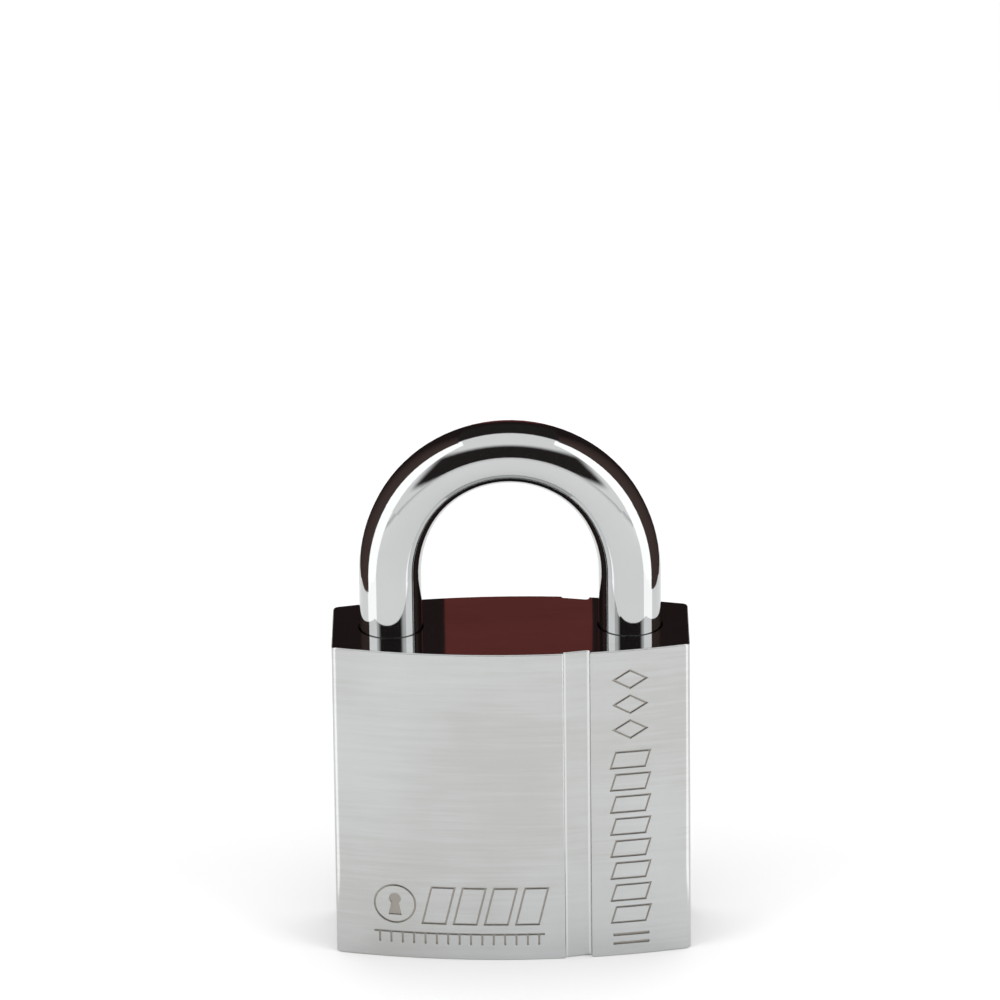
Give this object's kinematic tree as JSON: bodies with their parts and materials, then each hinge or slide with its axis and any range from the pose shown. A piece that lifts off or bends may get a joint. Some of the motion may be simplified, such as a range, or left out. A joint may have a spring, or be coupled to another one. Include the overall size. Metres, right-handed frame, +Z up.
{
  "type": "padlock",
  "caption": "Solid-body padlock with bowed front and back, an upright side groove, a round chromed shackle and a rotating disc cylinder opened from below.",
  "frame": {"origin": "middle of the body's flat underside, level with what the padlock stands on", "axes": "+Z up towards the shackle's crown, +X to the right across the front face, -Y out of the front face"},
  "size_m": [0.057, 0.025, 0.0878],
  "materials": {
    "body_chrome": "satin chrome plate over hardened steel",
    "shackle_chrome": "bright polished chrome plate",
    "hard_steel": "ground and polished hardened steel",
    "cam_steel": "machined steel",
    "shell_plate": "brass with a thin satin nickel plate",
    "plate_steel": "satin hardened steel",
    "rotor_brass": "turned brass",
    "disc_brass": "stamped brass",
    "washer_steel": "stamped steel",
    "spring_steel": "blued spring steel",
    "black_steel": "black oxide"
  },
  "bodies": {
    "body": {"lock_body": "body_chrome", "cylinder_shell": "shell_plate", "thrust_washer": "washer_steel", "retaining_ring": "spring_steel", "retaining_pin": "cam_steel", "retaining_screw": "black_steel"},
    "shackle": {"shackle": "shackle_chrome"},
    "rotor": {"rotor_core": "rotor_brass", "keyway_plate": "plate_steel", "drill_plate": "hard_steel", "sidebar": "cam_steel", "driver_cam": "cam_steel", "code_disc_01": "disc_brass", "code_disc_02": "disc_brass", "code_disc_03": "disc_brass", "code_disc_04": "disc_brass", "code_disc_05": "disc_brass", "code_disc_06": "disc_brass", "code_disc_07": "disc_brass", "code_disc_08": "disc_brass", "code_disc_09": "disc_brass", "code_disc_10": "disc_brass", "code_disc_11": "disc_brass", "spacer_01": "washer_steel", "spacer_02": "washer_steel", "spacer_03": "washer_steel", "spacer_04": "washer_steel", "spacer_05": "washer_steel", "spacer_06": "washer_steel", "spacer_07": "washer_steel", "spacer_08": "washer_steel", "spacer_09": "washer_steel", "spacer_10": "washer_steel", "spacer_11": "washer_steel", "spacer_12": "washer_steel"},
    "toe_ball": {"toe_ball": "hard_steel"},
    "heel_ball": {"heel_ball": "hard_steel"}
  },
  "joints": [
    {"name": "shackle_lift", "type": "slide", "parent": "body", "child": "shackle", "axis": [0, 0, 1], "range_m": [0, 0.016]},
    {"name": "cylinder_turn", "type": "hinge", "parent": "body", "child": "rotor", "pos_m": [0, 0, 0.02], "axis": [0, 0, -1], "range_deg": [0, 90]},
    {"name": "toe_ball_slide", "type": "slide", "parent": "body", "child": "toe_ball", "axis": [1, 0, 0], "range_m": [0, 0.0021]},
    {"name": "heel_ball_slide", "type": "slide", "parent": "body", "child": "heel_ball", "axis": [-1, 0, 0], "range_m": [0, 0.0012]}
  ],
  "couplings": [
    {"joint": "toe_ball_slide", "follows": "cylinder_turn", "m_per_rad": 0.0013369},
    {"joint": "heel_ball_slide", "follows": "cylinder_turn", "m_per_rad": 0.0007639}
  ]
}
